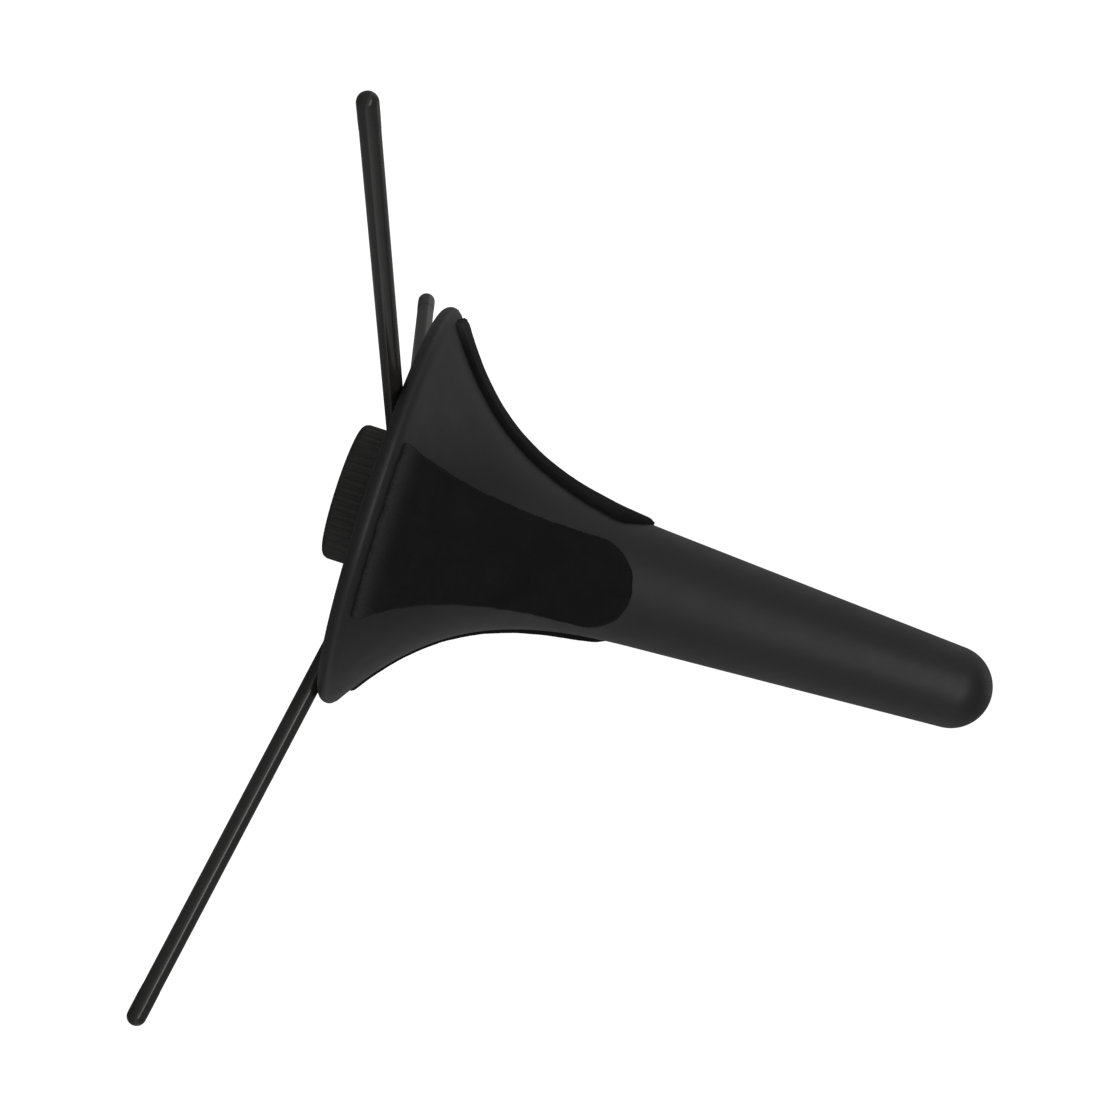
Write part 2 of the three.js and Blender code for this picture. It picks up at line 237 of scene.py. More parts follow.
def surface(name, grid, material, ring=False, sharp=40, marks=None):
    """Mesh of a grid of points whose columns close on each other. Its rows close on each other too
    (ring), or it ends at its first and last rows, and points of these that coincide merge. Marks
    are a number for each point, which the velvet reads."""
    rows, columns = grid.shape[:2]
    number = np.arange(rows * columns).reshape(rows, columns)
    here = number if ring else number[:-1]
    above = np.roll(number, -1, axis=0) if ring else number[1:]
    faces = np.stack([here, np.roll(here, -1, axis=1), np.roll(above, -1, axis=1), above], axis=-1)
    mesh = bpy.data.meshes.new(name)
    mesh.from_pydata((grid.reshape(-1, 3) * MM).tolist(), [], faces.reshape(-1, 4).tolist())
    if marks is not None:
        mesh.attributes.new(SHEEN_ATTRIBUTE, "FLOAT", "POINT").data.foreach_set("value", marks.ravel())
    return finish_mesh(name, mesh, material, sharp)


def finish_mesh(name, mesh, material, sharp=40):
    """Merges doubles, points the faces outwards, shades smooth up to the sharp angle, and links."""
    work = bmesh.new()
    work.from_mesh(mesh)
    bmesh.ops.remove_doubles(work, verts=work.verts, dist=1e-7)
    bmesh.ops.recalc_face_normals(work, faces=work.faces)
    work.to_mesh(mesh)
    work.free()
    mesh.shade_smooth()
    mesh.set_sharp_from_angle(angle=math.radians(sharp))
    mesh.materials.clear()
    mesh.materials.append(material)
    piece = bpy.data.objects.new(name, mesh)
    bpy.context.scene.collection.objects.link(piece)
    return piece


def stands_for(piece, body, slot, *nodes):
    """Rides the piece on its body, in place of CAD nodes. The slot is not used."""
    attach(piece, body)
    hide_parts(*nodes)


# ---- Materials ----------------------------------------------------------------------------------

SHEEN_ATTRIBUTE = "wear_and_sheen"  # the attribute that says where painted sheen pales the velvet
# Painted sheen: the pale velvet colour near the rim, where the pile catches the light at a grazing
# angle
SHEEN_VELVET = "434242"


def colour(code):
    """Linear RGBA of an sRGB hex colour."""
    channels = [int(code[i : i + 2], 16) / 255 for i in (0, 2, 4)]
    return [c / 12.92 if c <= 0.04045 else ((c + 0.055) / 1.055) ** 2.4 for c in channels] + [1]


def node(tree, kind, settings=None, links=None):
    """Adds a node: settings are its options and input values, links the sockets that feed it."""
    made = tree.nodes.new(kind)
    for key, value in (settings or {}).items():
        if isinstance(key, int) or key in made.inputs:
            made.inputs[key].default_value = value
        else:
            setattr(made, key, value)
    for key, socket in (links or {}).items():
        tree.links.new(socket, made.inputs[key])
    return made


def start_material(name, settings):
    """New material with its shader's constant values. Returns it, its tree, shader and coordinates."""
    material = bpy.data.materials.new(name)
    material.use_nodes = True
    tree = material.node_tree
    shader = tree.nodes["Principled BSDF"]
    for key, value in settings.items():
        shader.inputs[key].default_value = value
    place_on_piece = node(tree, "ShaderNodeTexCoord").outputs["Object"]
    return material, tree, shader, place_on_piece


def noise(tree, at, size_mm, detail=2.0, roughness=0.5):
    """Noise whose blotches are about that many millimetres across."""
    settings = {"Scale": 1 / (size_mm * MM), "Detail": detail, "Roughness": roughness}
    return node(tree, "ShaderNodeTexNoise", settings, {"Vector": at}).outputs["Fac"]


def spread(tree, value, low, high, out_low, out_high):
    """Maps a value from one range to another, held at its ends."""
    settings = {"From Min": low, "From Max": high, "To Min": out_low, "To Max": out_high}
    return node(tree, "ShaderNodeMapRange", settings, {"Value": value}).outputs["Result"]


def two_tone(tree, value, dark, light):
    """Colour between two hex colours."""
    ramp = node(tree, "ShaderNodeValToRGB", {}, {"Fac": value})
    ramp.color_ramp.elements[0].color = colour(dark)
    ramp.color_ramp.elements[0].position = 0.3
    ramp.color_ramp.elements[1].color = colour(light)
    ramp.color_ramp.elements[1].position = 0.7
    return ramp.outputs["Color"]


def relief(tree, height, depth_mm, strength=1.0, below=None):
    """Bump of that depth, on top of another one where it is given."""
    links = {"Height": height}
    if below:
        links["Normal"] = below
    settings = {"Distance": depth_mm * MM, "Strength": strength}
    return node(tree, "ShaderNodeBump", settings, links).outputs["Normal"]


def satin_abs():
    """Injection-moulded ABS from a finely eroded mould: an even, silky black with a faint grain."""
    settings = {"IOR": 1.54, "Metallic": 0.0}
    material, tree, shader, at = start_material("satin_moulded_abs", settings)
    drift = noise(tree, at, 34, 3)  # slow change of sheen where the plastic flowed
    grain = noise(tree, at, 0.55, 2, 0.6)  # erosion grain, drawn twice as coarse as it is, to show
    handling = noise(tree, at, 7, 4, 0.65)  # places polished by hands
    tree.links.new(two_tone(tree, drift, "1f1e1f", "242223"), shader.inputs["Base Color"])
    polish = spread(tree, handling, 0.35, 0.65, 0.44, 0.50)
    tree.links.new(polish, shader.inputs["Roughness"])
    tree.links.new(relief(tree, grain, 0.012, 0.5), shader.inputs["Normal"])
    return material


def ribbed_abs():
    """The same ABS from a plain-cut mould, a little duller, as on a small grip part. Its colour is
    painted light: far paler than the peg's black, to make up for the flare's shade on the knob.
    """
    settings = {"IOR": 1.54, "Metallic": 0.0}
    material, tree, shader, at = start_material("knob_moulded_abs", settings)
    wear_and_sheen = noise(tree, at, 3, 4, 0.6)
    grain = noise(tree, at, 0.4, 2)
    # Painted light: both tones are far paler than the black ABS, standing in for light the flare's
    # overhang keeps off the knob; the noise between them is wear
    tree.links.new(two_tone(tree, wear_and_sheen, "464644", "4e4e4c"), shader.inputs["Base Color"])
    tree.links.new(spread(tree, wear_and_sheen, 0.3, 0.7, 0.46, 0.56), shader.inputs["Roughness"])
    tree.links.new(relief(tree, grain, 0.01, 0.5), shader.inputs["Normal"])
    return material


def velvet():
    """Short-pile black velvet: nearly no highlight, a dim glow where the pile is seen sideways,
    patches where the nap leans another way, and a paler edge on the rim's side that is painted
    sheen. The mesh carries how much of that painted sheen each place has."""
    settings = {
        "IOR": 1.45,
        "Metallic": 0.0,
        "Specular IOR Level": 0.06,
        "Sheen Weight": 0.16,
        "Sheen Roughness": 0.45,
        "Sheen Tint": colour("8c8a8a"),
    }
    material, tree, shader, at = start_material("black_velvet", settings)
    nap = noise(tree, at, 12, 3, 0.6)  # brushed patches
    tufts = noise(tree, at, 0.7, 2, 0.7)  # pile tufts, drawn coarser than their 0.2 mm, to show
    # Painted sheen: the mesh's mark, times the tufts' unevenness, mixes the pale colour into the
    # velvet towards the rim
    wear_and_sheen = node(tree, "ShaderNodeAttribute", {"attribute_name": SHEEN_ATTRIBUTE}).outputs["Fac"]
    uneven = spread(tree, tufts, 0.25, 0.6, 0.6, 1.0)
    share = node(tree, "ShaderNodeMath", {"operation": "MULTIPLY"}, {0: wear_and_sheen, 1: uneven})
    colours = {6: two_tone(tree, nap, "1f1e1e", "262525"), 0: share.outputs[0]}
    pile = node(tree, "ShaderNodeMix", {"data_type": "RGBA", 7: colour(SHEEN_VELVET)}, colours)
    tree.links.new(pile.outputs[2], shader.inputs["Base Color"])
    tree.links.new(spread(tree, tufts, 0.3, 0.7, 0.85, 1.0), shader.inputs["Roughness"])
    leaning = relief(tree, nap, 0.25, 0.3)
    tree.links.new(relief(tree, tufts, 0.16, 0.8, leaning), shader.inputs["Normal"])
    return material


def coated_steel():
    """Steel rod in black stove enamel: a smooth film with a soft orange peel and a crisp highlight."""
    settings = {"IOR": 1.58, "Metallic": 0.0}
    material, tree, shader, at = start_material("enamelled_steel", settings)
    peel = noise(tree, at, 1.4, 1)
    specks = noise(tree, at, 0.35, 2)
    scuffs = noise(tree, at, 5, 5, 0.7)
    tree.links.new(two_tone(tree, scuffs, "2f2d2c", "353332"), shader.inputs["Base Color"])
    tree.links.new(spread(tree, scuffs, 0.35, 0.7, 0.15, 0.19), shader.inputs["Roughness"])
    film = relief(tree, peel, 0.004, 0.3)
    tree.links.new(relief(tree, specks, 0.001, 0.3, film), shader.inputs["Normal"])
    return material


def vinyl():
    """Dipped black vinyl on the foot tips: the enamel's black, a little softer in its shine."""
    settings = {"IOR": 1.52, "Metallic": 0.0}
    material, tree, shader, at = start_material("dipped_vinyl", settings)
    worn = noise(tree, at, 1.8, 4, 0.6)
    tree.links.new(two_tone(tree, worn, "2f2d2c", "353332"), shader.inputs["Base Color"])
    tree.links.new(spread(tree, worn, 0.3, 0.7, 0.16, 0.21), shader.inputs["Roughness"])
    tree.links.new(relief(tree, worn, 0.006, 0.3), shader.inputs["Normal"])
    return material


def nylon():
    """Glass-filled nylon: dark grey with pale flecks of fibre and a slightly mottled shine."""
    settings = {"IOR": 1.53, "Metallic": 0.0}
    material, tree, shader, at = start_material("glass_filled_nylon", settings)
    flecks = noise(tree, at, 0.5, 3, 0.7)
    mottle = noise(tree, at, 4, 3)
    tree.links.new(two_tone(tree, flecks, "1e1e1f", "2a2a2b"), shader.inputs["Base Color"])
    tree.links.new(spread(tree, mottle, 0.3, 0.7, 0.38, 0.52), shader.inputs["Roughness"])
    tree.links.new(relief(tree, flecks, 0.015, 0.5), shader.inputs["Normal"])
    return material


def rubber():
    """Nitrile rubber of the ring: a dead black with a dusty, uneven dullness."""
    settings = {"IOR": 1.52, "Metallic": 0.0}
    material, tree, shader, at = start_material("nitrile_rubber", settings)
    dust = noise(tree, at, 1.2, 4, 0.65)
    tree.links.new(two_tone(tree, dust, "121212", "1d1c1c"), shader.inputs["Base Color"])
    tree.links.new(spread(tree, dust, 0.3, 0.7, 0.55, 0.75), shader.inputs["Roughness"])
    tree.links.new(relief(tree, dust, 0.02, 0.5), shader.inputs["Normal"])
    return material


def zinc_steel():
    """Bright zinc plate on small turned steel parts: a pale bluish metal with cloudy brightness."""
    settings = {"Metallic": 1.0}
    material, tree, shader, at = start_material("zinc_plated_steel", settings)
    clouds = noise(tree, at, 1.5, 4, 0.6)
    marks = noise(tree, at, 0.2, 2)
    tree.links.new(two_tone(tree, clouds, "a3a6aa", "c2c4c6"), shader.inputs["Base Color"])
    tree.links.new(spread(tree, clouds, 0.3, 0.7, 0.22, 0.38), shader.inputs["Roughness"])
    tree.links.new(relief(tree, marks, 0.005, 0.5), shader.inputs["Normal"])
    return material


SATIN_ABS = satin_abs()
RIBBED_ABS = ribbed_abs()
VELVET = velvet()
COATED_STEEL = coated_steel()
VINYL = vinyl()
NYLON = nylon()
RUBBER = rubber()
ZINC_STEEL = zinc_steel()

# ---- Peg ----------------------------------------------------------------------------------------


def flare_curve(count):
    """Cubic Bezier from the lip to the cone: it leaves the lip at the flare's angle and meets the
    cone along its slope. Returns its (r, z) points and its outward unit normals."""
    along = np.array([-math.sin(FLARE_ANGLE), math.cos(FLARE_ANGLE)])
    outward = np.array([along[1], -along[0]])
    start = np.array([LIP_RADIUS, RIM_Z + LIP_HEIGHT]) + outward * LIP_ROUND
    end = np.array([CONE_RADIUS, RIM_Z + CONE_START])
    cone_down = np.array([CONE_SLOPE, -1]) / math.hypot(CONE_SLOPE, 1)
    a, b, c, d = start, start + along * FLARE_HANDLE, end + cone_down * CONE_HANDLE, end
    t = np.linspace(0, 1, count)[:, None]
    at = (1 - t) ** 3 * a + 3 * (1 - t) ** 2 * t * b + 3 * (1 - t) * t**2 * c + t**3 * d
    slope = 3 * (1 - t) ** 2 * (b - a) + 6 * (1 - t) * t * (c - b) + 3 * t**2 * (d - c)
    slope = slope / np.linalg.norm(slope, axis=1)[:, None]
    return at, np.column_stack([slope[:, 1], -slope[:, 0]])


def tip_arc(inset, count):
    """Round tip that the cone runs into, moved inwards by inset, from the cone up to the axis."""
    tilt = math.atan(CONE_SLOPE)
    edge = CONE_RADIUS - CONE_SLOPE * (TIP_HEIGHT - CONE_START)
    radius = edge * math.cos(tilt) - inset
    return arc((0, RIM_Z + TIP_HEIGHT), radius, tilt, math.pi / 2, count)


def make_peg():
    """Shell of revolution: round tip, cone and flare outside, rolled lip, and the same at a wall's
    thickness inside."""
    at, normal = flare_curve(90)
    inner = at - normal * WALL
    cone = np.linspace(0, 1, 40)[1:-1, None]
    outside_tip = tip_arc(0, 28)
    inside_tip = tip_arc(WALL, 24)
    inside_end = math.acos((LIP_ROUND - WALL) / LIP_ROUND)  # where the wall's inside meets the lip
    out = math.pi / 2 - FLARE_ANGLE
    lip = arc((LIP_RADIUS, RIM_Z + LIP_HEIGHT), LIP_ROUND, TURN + out, out + inside_end, 44)
    profile = np.concatenate(
        [
            outside_tip[::-1],
            outside_tip[0] + (at[-1] - outside_tip[0]) * cone,
            at[::-1],
            lip[1:],
            inner[1:],
            inner[-1] + (inside_tip[0] - inner[-1]) * cone,
            inside_tip,
        ]
    )
    profile[[0, -1], 0] = 0
    peg = surface("moulded_peg", turned(profile, PEG_AROUND), SATIN_ABS, sharp=60)
    stands_for(peg, "peg", "satin_abs", "peg_shell")


make_peg()

# ---- Velvet pads --------------------------------------------------------------------------------


def pad_outline(count):
    """Closed loop (y, z) of a pad seen square on: a straight edge at the rim, two hollow sides, and
    half an ellipse at the neck. Even steps along it, then a running mean rounds its corners."""
    t = np.linspace(0, 1, 400)[:, None]
    rim = np.column_stack([t * PAD_RIM_HALF, np.full_like(t, PAD_RIM_HEIGHT)])
    a = np.array([PAD_RIM_HALF, PAD_RIM_HEIGHT])
    b = np.array([PAD_NECK_HALF, PAD_BEND_HEIGHT])
    c = np.array([PAD_NECK_HALF, PAD_ROUND_HEIGHT])
    side = (1 - t) ** 2 * a + 2 * (1 - t) * t * b + t**2 * c
    angle = t * math.pi / 2
    ellipse = np.column_stack([PAD_NECK_HALF * np.cos(angle), PAD_ROUND_LENGTH * np.sin(angle)])
    half = np.concatenate([rim[:-1], side[:-1], ellipse + [0, PAD_ROUND_HEIGHT]])
    loop = np.concatenate([half, (half * [-1, 1])[-2:0:-1], half[:1]])
    length = np.concatenate([[0], np.cumsum(np.linalg.norm(np.diff(loop, axis=0), axis=1))])
    even = np.linspace(0, length[-1], count, endpoint=False)
    loop = np.column_stack([np.interp(even, length, loop[:, k]) for k in (0, 1)])
    reach = 2
    return sum(np.roll(loop, k, axis=0) for k in range(-reach, reach + 1)) / (2 * reach + 1)


def ripple(y, z, wavelength, seed):
    """Smooth unevenness between about -1 and 1: a sum of sine waves in random directions."""
    chance = np.random.default_rng(seed)
    total = 0
    for _ in range(7):
        heading = chance.uniform(0, TURN)
        pitch = wavelength * chance.uniform(0.6, 1.6)
        phase = chance.uniform(0, TURN)
        total = total + np.sin((y * math.cos(heading) + z * math.sin(heading)) * TURN / pitch + phase)
    return total / 4


def ripples(y, z, layers, seeds):
    """Two layers of ripple, each a depth in millimetres and a wavelength."""
    (deep, long), (shallow, short) = layers
    return deep * ripple(y, z, long, seeds[0]) + shallow * ripple(y, z, short, seeds[1])


def on_shell(y, z, height, at_rim, at_neck):
    """Takes a flat point (y, z) to that height over the shell. It lies where the flare's normal from
    the shell meets z, turned by the angle whose sine is y over the radius there, and the whole
    pattern twists a little from the rim to the neck, as a pad laid by hand does."""
    at, normal = flare_curve(400)
    middle = at + normal * PAD_TOP / 2
    along = np.interp(RIM_Z + z, middle[:, 1], np.arange(len(at)))
    columns = (*at.T, *normal.T, middle[:, 0])
    r, up, r_normal, up_normal, bend = [np.interp(along, np.arange(len(at)), c) for c in columns]
    share = (z - PAD_RIM_HEIGHT) / (PAD_ROUND_HEIGHT + PAD_ROUND_LENGTH - PAD_RIM_HEIGHT)
    angle = np.radians(at_rim + (at_neck - at_rim) * share) + np.arcsin(y / bend)
    radius = r + r_normal * height
    return np.stack([radius * np.cos(angle), radius * np.sin(angle), up + up_normal * height], axis=-1)


def make_pad(number, at_rim, at_neck):
    """Pad as a loop that is drawn in from its outline: on top to its centre line, and underneath,
    against the shell, to just short of it, which leaves a slot. On top the two sides meet with
    points of their own, and few of them merge.
    The pile's height is a quarter of an ellipse of the distance to the nearest cut edge, less a sum
    of sine waves. The painted sheen grows as a square towards the rim."""
    outline = pad_outline(PAD_STEPS)
    ahead = np.roll(outline, -1, axis=0) - np.roll(outline, 1, axis=0)
    outward = np.column_stack([ahead[:, 1], -ahead[:, 0]]) / np.linalg.norm(ahead, axis=1)[:, None]
    wander = ripples(*outline.T, PAD_WANDER, (number, number + 30))
    outline = outline + outward * wander[:, None]
    middle_line = np.clip(outline[:, 1], PAD_RIM_HEIGHT + PAD_CREASE, PAD_ROUND_HEIGHT)
    centre = np.column_stack([np.zeros(len(outline)), middle_line])
    near_edge = np.linspace(0, 0.36, 15) ** 2  # close rows where the pile turns down to the cut
    inwards = np.concatenate([near_edge, np.linspace(0.15, 1, 22)])
    top = outline + (centre - outline) * inwards[::-1, None, None]
    under = outline + (centre - outline) * inwards[3::4, None, None]
    flat = np.concatenate([top, under])
    gap = [np.linalg.norm(row[:, None] - outline[None, ::2], axis=-1).min(axis=1) for row in top]
    y, z = flat[..., 0], flat[..., 1]
    towards_neck = np.clip((z[: len(top)] - PAD_ROUND_HEIGHT) / PAD_ROUND_LENGTH, 0, 1)
    near = np.clip(np.array(gap) / (PAD_EDGE + PAD_NECK_EDGE * towards_neck), 0, 1)
    lift = np.concatenate([np.sqrt(1 - (1 - near) ** 2), np.zeros(under.shape[:2])])
    lift[len(top) - 1] = 0  # the outline itself lies on the shell
    uneven = ripples(y, z, PAD_PILE, (number + 10, number + 20))
    height = PAD_BOTTOM + lift * (PAD_TOP - PAD_BOTTOM - PAD_SLACK + uneven)
    grid = on_shell(y, z, height, at_rim, at_neck)
    # Painted sheen: strongest at the rim's edge, fading as a square over the band's width
    wear_and_sheen = np.clip(1 - (z - PAD_RIM_HEIGHT) / PAD_SHEEN_BAND, 0, 1) ** 2
    pad = surface(f"velvet_face_{number}", grid, VELVET, sharp=75, marks=wear_and_sheen)
    stands_for(pad, "peg", "velvet", f"velvet_pad_{number}")


for pad_number, pad_azimuths in enumerate(PAD_AZIMUTHS, 1):
    make_pad(pad_number, *pad_azimuths)

# ---- Socket and grip ring -----------------------------------------------------------------------


def make_socket():
    """Tube turned about the axis, with a groove for the ring and eased edges."""
    corners = [
        (SOCKET_BORE, SOCKET_BOTTOM),
        (SOCKET_OUTER, SOCKET_BOTTOM),
        (SOCKET_OUTER, SOCKET_TOP),
        (SOCKET_BORE, SOCKET_TOP),
        (SOCKET_BORE, GROOVE_TOP),
        (GROOVE_RADIUS, GROOVE_TOP),
        (GROOVE_RADIUS, GROOVE_BOTTOM),
        (SOCKET_BORE, GROOVE_BOTTOM),
    ]
    profile = rounded(corners, [0.35, 0.35, 0.4, 0.4, 0.15, 0.2, 0.2, 0.15], support=0.1)
    tube = surface("socket_tube", turned(profile, TUBE_AROUND), NYLON, ring=True)
    stands_for(tube, "peg", "nylon", "leg_socket")


def make_ring():
    """Rubber ring turned about the axis, its section a rectangle with large rounds."""
    outer = RING_INNER + RING_SECTION
    top = RING_BOTTOM + RING_HEIGHT
    corners = [(RING_INNER, RING_BOTTOM), (outer, RING_BOTTOM), (outer, top), (RING_INNER, top)]
    profile = rounded(corners, [RING_EDGE] * 4, support=0.02)
    ring = surface("rubber_ring", turned(profile, TUBE_AROUND), RUBBER, ring=True)
    stands_for(ring, "grip_ring", "rubber", "grip_ring")


make_socket()
make_ring()

# ---- Knob ---------------------------------------------------------------------------------------


def bore_screw_holes(knob):
    """Cuts a blind hole under each screw: a turned plug that stands a little over the knob's top."""
    over = KNOB_HEIGHT + 1
    corners = [
        (0, SCREW_HOLE_END),
        (SCREW_HOLE, SCREW_HOLE_END + SCREW_HOLE_POINT),
        (SCREW_HOLE, over),
        (0, over),
    ]
    plug = turned(np.array(corners, float), 40) - [SCREW_CIRCLE, 0, 0]
    for azimuth in LEG_AZIMUTHS:
        cutter = surface("plug", about_z(plug, azimuth), RIBBED_ABS)
        cut = knob.modifiers.new("screw_hole", "BOOLEAN")
        cut.object = cutter
        whole = knob.evaluated_get(bpy.context.evaluated_depsgraph_get())
        knob.data = bpy.data.meshes.new_from_object(whole)
        knob.modifiers.clear()
        bpy.data.objects.remove(cutter)


def make_knob():
    """Turned disc whose radius drops into a rounded valley between ribs: the valley's depth is a
    raised cosine round the knob, and fades in over the rounded edge. The dimple in the middle of
    the flat underside follows a squared cosine."""
    side = KNOB_RADIUS - KNOB_EDGE
    gate = np.linspace(0, 1, 7)[:, None]
    dimple = np.column_stack([gate * GATE_RADIUS, GATE_DEPTH * np.cos(gate * math.pi / 2) ** 2])
    flat = np.column_stack([np.linspace(GATE_RADIUS + 0.1, side - 0.1, 12), np.zeros(12)])
    edge = arc((side, KNOB_EDGE), KNOB_EDGE, -math.pi / 2, 0, 14)
    rise_z = np.linspace(KNOB_EDGE + 0.2, KNOB_HEIGHT - SHOULDER - 0.2, 10)
    rise = np.column_stack([np.full(10, KNOB_RADIUS), rise_z])
    shoulder = arc((KNOB_RADIUS - SHOULDER, KNOB_HEIGHT - SHOULDER), SHOULDER, 0, math.pi / 2, 6)
    top = np.column_stack([np.linspace(KNOB_RADIUS - 1.2, 0, 8), np.full(8, KNOB_HEIGHT)])
    profile = np.concatenate([dimple, flat, edge, rise, shoulder, top])
    angle = np.linspace(0, TURN, RIB_COUNT * 16, endpoint=False)
    valley = 0.5 + 0.5 * np.cos(angle * RIB_COUNT)
    fade = np.clip((profile[:, :1] - side) / KNOB_EDGE, 0, 1) ** 1.5
    radius = profile[:, :1] - RIB_DEPTH * fade * valley
    height = np.broadcast_to(profile[:, 1:], radius.shape)
    grid = np.stack([radius * np.cos(angle), radius * np.sin(angle), height], axis=-1)
    knob = surface("grip_knob", grid, RIBBED_ABS, sharp=60)
    bore_screw_holes(knob)
    stands_for(knob, "leg_hub", "ribbed_abs", "knob")


make_knob()

# ---- Hub and hinges from the design's own solids ------------------------------------------------

EASED_ANGLE = 38  # edges sharper than this many degrees are rounded


def eased_copy(name, cad_node, material, body, slot, width):
    """Merged copy of a CAD node with small rounds on its edges."""
    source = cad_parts[cad_node].data.copy()
    source.name = name
    work = bmesh.new()
    work.from_mesh(source)
    bmesh.ops.remove_doubles(work, verts=work.verts, dist=1e-6)
    bmesh.ops.dissolve_limit(work, angle_limit=math.radians(1), verts=work.verts, edges=work.edges)
    work.to_mesh(source)
    work.free()
    piece = finish_mesh(name, source, material, sharp=EASED_ANGLE)
    bevel = piece.modifiers.new("eased_edges", "BEVEL")
    bevel.width = width * MM
    bevel.segments = 3
    bevel.limit_method = "ANGLE"
    bevel.angle_limit = math.radians(EASED_ANGLE)
    bevel.harden_normals = True
    stands_for(piece, body, slot, cad_node)


eased_copy("hub_body", "leg_hub", NYLON, "leg_hub", "nylon", 0.25)
for leg_number in (1, 2, 3):
    cad_name = f"leg_knuckle_{leg_number}"
    eased_copy(f"hinge_eye_{leg_number}", cad_name, NYLON, f"leg_{leg_number}", "nylon", 0.2)

# ---- Legs ---------------------------------------------------------------------------------------

LEG_DROP = math.atan2(PIVOT_Z - FOOT_Z, FOOT_RADIUS - PIVOT_RADIUS)
LEG_LENGTH = math.hypot(PIVOT_Z - FOOT_Z, FOOT_RADIUS - PIVOT_RADIUS)
CAP_START = LEG_LENGTH - CAP_LENGTH


def along_leg(profile, around, azimuth):
    """Turned shape laid along a leg: from its pivot out and down to its foot."""
    axis = (math.cos(LEG_DROP), 0, -math.sin(LEG_DROP))
    return about_z(place(turned(profile, around), (PIVOT_RADIUS, 0, PIVOT_Z), axis), azimuth)


def make_rod(number, azimuth):
    """Straight rod with a thinner spigot at each end and eased shoulders."""
    corners = [
        (0, SPIGOT_START),
        (SPIGOT_RADIUS, SPIGOT_START),
        (SPIGOT_RADIUS, ROD_START),
        (ROD_RADIUS, ROD_START),
        (ROD_RADIUS, CAP_START - CAP_GAP),
        (SPIGOT_RADIUS, CAP_START - CAP_GAP),
        (SPIGOT_RADIUS, LEG_LENGTH - SPIGOT_END),
        (0, LEG_LENGTH - SPIGOT_END),
    ]
    profile = rounded(corners, [0, 0.3, 0.1, 0.3, 0.2, 0.1, 0.3, 0])
    rod = surface(f"steel_rod_{number}", along_leg(profile, 64, azimuth), COATED_STEEL)
    stands_for(rod, f"leg_{number}", "coated_steel", f"leg_rod_{number}")


def make_foot(number, azimuth):
    """Cap with a ball end round the rod's spigot. Where the ball would reach under the floor, its
    surface stays at the floor's height, which gives the small worn flat."""
    corners = [
        (CAP_BORE, LEG_LENGTH - CAP_BORE_END),
        (CAP_BORE, CAP_START),
        (ROD_RADIUS + CAP_SKIN, CAP_START),
        (ROD_RADIUS + CAP_SKIN, CAP_START - CAP_LIP),
        (ROD_RADIUS + 2 * CAP_SKIN, CAP_START - CAP_LIP),
        (FOOT_BALL, CAP_START + CAP_SWELL),
    ]
    sleeve = rounded(corners, [0.2, 0.1, 0, 0, 0, 0])
    ball = arc((0, LEG_LENGTH), FOOT_BALL, 0, math.pi / 2, 22)
    ball[-1, 0] = 0
    profile = np.concatenate([[(0, LEG_LENGTH - CAP_BORE_END)], sleeve, ball])
    grid = along_leg(profile, 72, azimuth)
    grid[..., 2] = np.maximum(grid[..., 2], FLOOR_Z)
    foot = surface(f"foot_tip_{number}", grid, VINYL, sharp=50)
    stands_for(foot, f"leg_{number}", "rubber", f"foot_cap_{number}")


def make_pin(number, azimuth):
    """Turned pin across the leg's slot, with chamfered ends."""
    corners = [(0, PIN_START), (PIN_RADIUS, PIN_START), (PIN_RADIUS, PIN_END), (0, PIN_END)]
    profile = rounded(corners, [0, 0.25, 0.25, 0])
    grid = about_z(place(turned(profile, 48), (PIVOT_RADIUS, 0, PIVOT_Z), (0, 1, 0)), azimuth)
    pin = surface(f"hinge_pin_{number}", grid, ZINC_STEEL)
    stands_for(pin, "leg_hub", "zinc_steel", f"pivot_pin_{number}")


